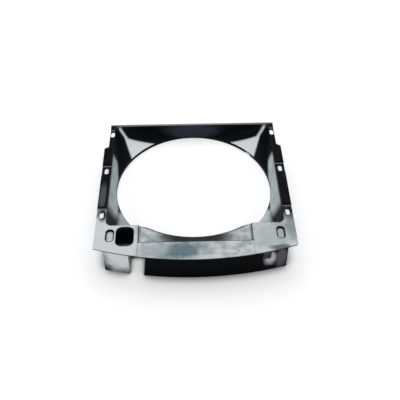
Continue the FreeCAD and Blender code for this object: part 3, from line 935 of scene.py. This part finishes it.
@dataclass(frozen=True)
class SteelFinish:
    """Oiled spring steel."""

    name: str = "spring_steel"
    steel: Colour = (0.30, 0.30, 0.31)
    brown: Colour = (0.12, 0.08, 0.05)
    scuff_cells: float = 300.0
    scuff_spread: float = 0.4
    metal: float = 0.9
    roughness: float = 0.38
    shine: float = 0.5

    def build(self, effects: Effects) -> bpy.types.Material:
        """Make the material.

        Args:
            effects: the shared node groups.

        Returns:
            The material.
        """
        surface = Surface(self.name, effects)
        scuffs = surface.effect(effects.scuffs, Size=self.scuff_cells, Spread=self.scuff_spread)
        colour = surface.wires.blend(scuffs["Mask"], self.steel, self.brown)
        surface.shade(colour, self.roughness, self.shine)
        surface.shader.inputs["Metallic"].default_value = self.metal
        return surface.material


# ------------------------------------------------------------------------------ staging


@dataclass(frozen=True)
class Lamp:
    """Square soft lamp aimed at the shroud."""

    light: Light
    place: Spot
    size: float
    watts: float

    def build(self) -> None:
        """Hang the lamp and turn it to the shroud."""
        data = bpy.data.lights.new(self.light.value, "AREA")
        data.size = self.size
        data.energy = self.watts
        lamp = bpy.data.objects.new(self.light.value, data)
        lamp.location = self.place
        lamp.rotation_euler = (-Vector(self.place)).to_track_quat("-Z", "Y").to_euler()
        bpy.context.scene.collection.objects.link(lamp)


@dataclass(frozen=True)
class FloorPaper:
    """White paper that glows a little where the camera sees it, with a painted shadow where it
    meets the shroud: ambient occlusion darkens its colour and glow there, except inside the ring.
    """

    name: str = "floor_paper"
    colour: Colour = (0.92, 0.925, 0.93)
    glow: float = 0.50
    roughness: float = 0.9
    contact_shadow_colour: Colour = (0.16, 0.16, 0.165)
    contact_shadow_reach: float = 0.044
    contact_shadow_edge: Span = (0.36, 0.96)
    contact_shadow_samples: int = 12
    ring_radius: float = 0.242
    ring_soft: float = 0.005

    def build(self, effects: Effects) -> bpy.types.Material:
        """Make the material.

        Args:
            effects: the shared node groups.

        Returns:
            The material.
        """
        surface = Surface(self.name, effects)
        wires, spot = surface.wires, surface.spot
        near = wires.node("ShaderNodeAmbientOcclusion", samples=self.contact_shadow_samples)
        near.inputs["Distance"].default_value = self.contact_shadow_reach
        away = wires.distance(spot.x, wires.maths("SUBTRACT", spot.y, RING_Y))
        # Painted shadow: share of the paper left unshaded, lower where occlusion finds the shroud
        # near, full inside the ring.
        unshaded = wires.most(wires.band(near.outputs["AO"], *self.contact_shadow_edge),
                             wires.band(away, self.ring_radius + self.ring_soft,
                                        self.ring_radius))
        wires.link(wires.blend(unshaded, self.contact_shadow_colour, self.colour),
                   surface.shader.inputs["Base Color"])
        surface.shader.inputs["Roughness"].default_value = self.roughness
        glow = wires.node("ShaderNodeEmission")
        wires.link(unshaded, glow.inputs["Strength"])
        rays = wires.node("ShaderNodeLightPath")
        wires.mix_shaders(wires.product(rays.outputs["Is Camera Ray"], self.glow),
                          surface.shader.outputs["BSDF"], glow.outputs["Emission"],
                          "Material Output")
        return surface.material


@dataclass(frozen=True)
class Studio:
    """Camera, pale floor in the plane of the ring's face, and soft lamps."""

    camera_place: Spot = (-0.01887, -1.3866, 1.39397)
    camera_turn: tuple[float, float, float] = (45.4635, 0.0582, -1.5848)
    lens: float = 57.07
    sensor: float = 36.0
    floor_size: float = 14.0
    floor_gap: float = 0.05 * MM
    sky: Colour = (0.95, 0.97, 1.0)
    sky_strength: float = 0.55
    backdrop: Colour = (1.0, 1.0, 1.0)
    lamps: tuple[Lamp, ...] = (
        Lamp(Light.OVERHEAD, (0.0, 1.6, 2.6), 2.4, 56.0),
        Lamp(Light.LEFT, (-2.6, 0.2, 1.6), 1.6, 22.0),
        Lamp(Light.RIGHT, (2.6, 0.2, 1.6), 1.6, 22.0),
        Lamp(Light.FRONT, (-0.2, -2.4, 1.9), 1.0, 12.0),
    )

    def build(self, paper: bpy.types.Material) -> None:
        """Make the camera, the floor, the lamps and the world.

        Args:
            paper: the floor's material.
        """
        self._camera()
        self._floor(paper)
        for lamp in self.lamps:
            lamp.build()
        self._world()
        bpy.context.scene.view_settings.view_transform = "Standard"

    def _camera(self) -> None:
        """Camera in front of the closing panel, looking down into the duct."""
        data = bpy.data.cameras.new("camera")
        data.lens = self.lens
        data.sensor_width = self.sensor
        camera = bpy.data.objects.new("camera", data)
        camera.location = self.camera_place
        camera.rotation_euler = [math.radians(a) for a in self.camera_turn]
        bpy.context.scene.collection.objects.link(camera)
        bpy.context.scene.camera = camera

    def _floor(self, paper: bpy.types.Material) -> None:
        """Pale floor that the ring's face lies on.

        Args:
            paper: its material.
        """
        mount = next(m for m in frame["record"]["mounts"] if m["name"] == "ring_face")
        up = -Vector(mount["axis"])
        lean = math.atan2(-up.y, up.z)
        bpy.ops.object.select_all(action="DESELECT")
        bpy.ops.mesh.primitive_plane_add(size=self.floor_size, location=mount["pos_m"],
                                         rotation=(lean, 0.0, 0.0))
        floor = bpy.context.object
        floor.name = "floor"
        floor.location.x = 0.0
        floor.location -= up * self.floor_gap
        bpy.ops.object.transform_apply(location=True, rotation=True, scale=True)
        floor.data.materials.append(paper)

    def _world(self) -> None:
        """Even pale surround, white where it's seen or mirrored."""
        world = bpy.data.worlds.new("surround")
        bpy.context.scene.world = world
        world.use_nodes = True
        wires = Wiring(world.node_tree)
        back = wires.tree.nodes["Background"]
        wires.feed(back.inputs["Color"], self.sky)
        wires.feed(back.inputs["Strength"], self.sky_strength)
        seen = wires.node("ShaderNodeBackground")
        wires.feed(seen.inputs["Color"], self.backdrop)
        rays = wires.node("ShaderNodeLightPath").outputs
        direct = wires.most(rays["Is Camera Ray"], rays["Is Glossy Ray"],
                            rays["Is Transmission Ray"])
        wires.mix_shaders(direct, back.outputs["Background"], seen.outputs["Background"],
                          "World Output")


# ---------------------------------------------------------------------------- assemblies


@dataclass(frozen=True)
class MouldedNodes:
    """CAD nodes that keep their own solids and take a finish."""

    finishes: dict[str, bpy.types.Material]

    def dress(self) -> None:
        """Give each node the material of its record's slot."""
        slots = {s["node"]: s["material_slot"] for s in frame["record"]["subparts"]}
        for name, node in frame["nodes"].items():
            node.data.materials.clear()
            node.data.materials.append(self.finishes[slots[name]])
            log.info("dressed %s", name)


@dataclass(frozen=True)
class FoamStrips:
    """Closed-cell foam strips stuck on the two side flanges."""

    nodes: tuple[str, ...] = ("lower_left_seal", "upper_left_seal", "lower_right_seal",
                              "upper_right_seal")
    cell: float = 0.0010
    sink: float = 0.0006
    lump: float = 0.007
    smoothing: float = 0.5
    passes: int = 3

    def build(self, finish: bpy.types.Material) -> None:
        """Model each strip from its node's outline and set it in the node's place.

        Args:
            finish: the foam's material.
        """
        for name in self.nodes:
            piece = self._strip(name)
            piece.data.materials.clear()
            piece.data.materials.append(finish)
            place_piece(piece, name)

    def _strip(self, node: str) -> bpy.types.Object:
        """Soft-edged strip with a lumpy skin, inside its node's outline.

        Args:
            node: the CAD node it stands for.

        Returns:
            The strip's object.
        """
        choose(frame["nodes"][node])
        bpy.ops.object.duplicate()
        piece = bpy.context.object
        piece.name = f"{node}_foam"
        weld()
        texture = bpy.data.textures.new(f"{node}_lumps", "CLOUDS")
        texture.noise_scale = self.lump
        add_modifier(piece, "REMESH", mode="VOXEL", voxel_size=self.cell)
        add_modifier(piece, "SMOOTH", factor=self.smoothing, iterations=self.passes)
        add_modifier(piece, "DISPLACE", texture=texture, texture_coords="GLOBAL",
                     strength=-self.sink, mid_level=0.0)
        bpy.ops.object.shade_smooth()
        return piece


@dataclass(frozen=True)
class PushNuts:
    """Star-lock nuts pressed on the studs behind the closing panel."""

    node: str = "push_nuts"
    radius: float = 0.007
    rim: float = 0.0018
    cone: float = 0.0016
    rise: float = 0.0011
    teeth: int = 6
    tooth: float = 0.70
    tooth_drop: float = 0.4 * MM
    on_edge: float = 0.1 * MM
    seat_gap: float = 0.05 * MM
    sheet: float = 0.0005
    bevel: float = 0.0001
    steps: int = 24
    smooth_angle: float = 35.0

    def build(self, finish: bpy.types.Material) -> None:
        """Model one nut, then set a copy on each stud.

        Args:
            finish: the spring steel's material.
        """
        places = self._places()
        first = self._nut(places[0])
        first.data.materials.append(finish)
        nuts = [first]
        for number, spot in enumerate(places[1:], 2):
            choose(first)
            bpy.ops.object.duplicate()
            nut = bpy.context.object
            bpy.ops.transform.translate(value=spot - places[0])
            bpy.ops.object.transform_apply(location=True, rotation=False, scale=False)
            nut.name = f"push_nut_{number}"
            nuts.append(nut)
        for nut in nuts:
            place_piece(nut, self.node)

    def _places(self) -> list[Vector]:
        """Find the studs from the nuts' solids.

        Returns:
            Top centre of each nut's solid, in order along the panel.
        """
        choose(frame["nodes"][self.node])
        bpy.ops.object.duplicate()
        weld()
        bpy.ops.mesh.separate(type="LOOSE")
        loose = list(bpy.context.selected_objects)
        places = []
        for part in loose:
            corners = [Vector(c) for c in part.bound_box]
            middle = sum(corners, Vector()) / len(corners)
            places.append(Vector((middle.x, middle.y, max(c.z for c in corners))))
        bpy.ops.object.select_all(action="DESELECT")
        for part in loose:
            part.select_set(True)
        bpy.ops.object.delete()
        return sorted(places, key=lambda p: (round(p.x, 3), p.y))

    def _nut(self, top: Vector) -> bpy.types.Object:
        """Domed ring of sheet steel with six teeth round its bore.

        Args:
            top: centre of its flat side.

        Returns:
            The nut's object.
        """
        bpy.ops.object.select_all(action="DESELECT")
        seat = top - Vector((0.0, 0.0, self.seat_gap))
        bpy.ops.mesh.primitive_circle_add(vertices=self.steps, radius=self.radius,
                                          fill_type="NGON", location=seat)
        nut = bpy.context.object
        nut.name = "push_nut_1"
        bpy.ops.object.transform_apply(location=True, rotation=False, scale=False)
        bpy.ops.object.mode_set(mode="EDIT")
        bpy.ops.mesh.select_all(action="SELECT")
        bpy.ops.mesh.inset(thickness=self.rim)
        bpy.ops.mesh.inset(thickness=self.cone)
        bpy.ops.transform.translate(value=(0.0, 0.0, -self.rise))
        bpy.ops.mesh.delete(type="FACE")
        self._teeth(nut, seat, self.radius - self.rim - self.cone)
        bpy.ops.mesh.select_all(action="SELECT")
        bpy.ops.mesh.normals_make_consistent(inside=False)
        bpy.ops.object.mode_set(mode="OBJECT")
        add_modifier(nut, "SOLIDIFY", thickness=self.sheet, offset=0.0)
        add_modifier(nut, "BEVEL", width=self.bevel, segments=2, limit_method="ANGLE")
        keep_under(nut, top.z)
        bpy.ops.object.shade_smooth_by_angle(angle=math.radians(self.smooth_angle))
        return nut

    def _teeth(self, nut: bpy.types.Object, seat: Vector, inner: float) -> None:
        """Draw six teeth in from the bore's edge.

        Args:
            nut: the nut, in edit mode.
            seat: centre of its flat side.
            inner: radius of the bore's edge.
        """
        bpy.ops.mesh.select_mode(type="EDGE")
        bpy.ops.mesh.select_all(action="DESELECT")
        bpy.ops.object.mode_set(mode="OBJECT")
        pitch = 360.0 / self.teeth
        for edge in nut.data.edges:
            ends = [nut.data.vertices[i].co - seat for i in edge.vertices]
            middle = (ends[0] + ends[1]) / 2.0
            turn = math.degrees(math.atan2(middle.y, middle.x)) % pitch
            on_bore = all(abs(e.xy.length - inner) < self.on_edge for e in ends)
            edge.select = on_bore and turn < pitch / 2.0
        bpy.ops.object.mode_set(mode="EDIT")
        bpy.ops.mesh.extrude_region_move()
        bpy.ops.transform.resize(value=(self.tooth, self.tooth, 1.0),
                                 center_override=tuple(seat))
        bpy.ops.transform.translate(value=(0.0, 0.0, -self.tooth_drop))


@dataclass(frozen=True)
class CornerWebs:
    """Small webs that close the duct's two upper corners against the flanges."""

    middle: Spot = (0.2514, 0.2834, 0.0936)
    size: tuple[float, float, float] = (0.0064, 0.0098, 0.0026)
    round_off: float = 0.0006
    smooth_angle: float = 40.0

    def build(self, finish: bpy.types.Material) -> None:
        """Model the web of each corner.

        Args:
            finish: the shell's material.
        """
        for side, name in ((-1.0, "left"), (1.0, "right")):
            bpy.ops.object.select_all(action="DESELECT")
            place = (side * self.middle[0], self.middle[1], self.middle[2])
            bpy.ops.mesh.primitive_cube_add(size=1.0, location=place, scale=self.size)
            web = bpy.context.object
            web.name = f"corner_web_{name}"
            bpy.ops.object.transform_apply(location=True, rotation=True, scale=True)
            bpy.ops.object.mode_set(mode="EDIT")
            bpy.ops.mesh.select_all(action="SELECT")
            bpy.ops.mesh.bevel(offset=self.round_off, segments=3)
            bpy.ops.object.mode_set(mode="OBJECT")
            bpy.ops.object.shade_smooth_by_angle(angle=math.radians(self.smooth_angle))
            web.data.materials.append(finish)
            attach(web, BODY)
            log.info("built %s", web.name)


# ------------------------------------------------------------------------- mesh helpers


def choose(thing: bpy.types.Object) -> None:
    """Select one object alone and make it active.

    Args:
        thing: the object.
    """
    bpy.ops.object.select_all(action="DESELECT")
    thing.select_set(True)
    bpy.context.view_layer.objects.active = thing


def weld(reach: float = 0.01 * MM) -> None:
    """Merge the active object's loose triangles into closed faces.

    Args:
        reach: how far apart points may be that are one.
    """
    bpy.ops.object.mode_set(mode="EDIT")
    bpy.ops.mesh.select_all(action="SELECT")
    bpy.ops.mesh.remove_doubles(threshold=reach)
    bpy.ops.object.mode_set(mode="OBJECT")


def add_modifier(thing: bpy.types.Object, kind: str, **settings: object) -> None:
    """Add a modifier to the active object and apply it.

    Args:
        thing: the active object.
        kind: the modifier's type.
        settings: values of its properties.
    """
    modifier = thing.modifiers.new(kind.lower(), kind)
    for name, setting in settings.items():
        setattr(modifier, name, setting)
    bpy.ops.object.modifier_apply(modifier=modifier.name)


def keep_under(thing: bpy.types.Object, level: float) -> None:
    """Lower a piece so that its top meets a level.

    Args:
        thing: the active object, at the origin.
        level: height of its seat.
    """
    top = max(v.co.z for v in thing.data.vertices)
    bpy.ops.transform.translate(value=(0.0, 0.0, level - top))
    bpy.ops.object.transform_apply(location=True, rotation=False, scale=False)


def place_piece(piece: bpy.types.Object, node: str) -> None:
    """Let a piece ride on the shroud in place of its node.

    Args:
        piece: the finished piece.
        node: the CAD node it stands for.
    """
    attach(piece, BODY)
    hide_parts(node)
    log.info("built %s: %d faces", piece.name, len(piece.data.polygons))


def main() -> None:
    """Build the finishes, the shroud's assemblies and the stage in order."""
    effects = Effects()
    finishes = {f.name: f.build(effects)
                for f in (ShellFinish(), PanelFinish(), FoamFinish(), SteelFinish())}
    MouldedNodes(finishes).dress()
    FoamStrips().build(finishes["seal_foam"])
    PushNuts().build(finishes["spring_steel"])
    CornerWebs().build(finishes["shell_plastic"])
    Studio().build(FloorPaper().build(effects))


if __name__ == "__main__":
    main()
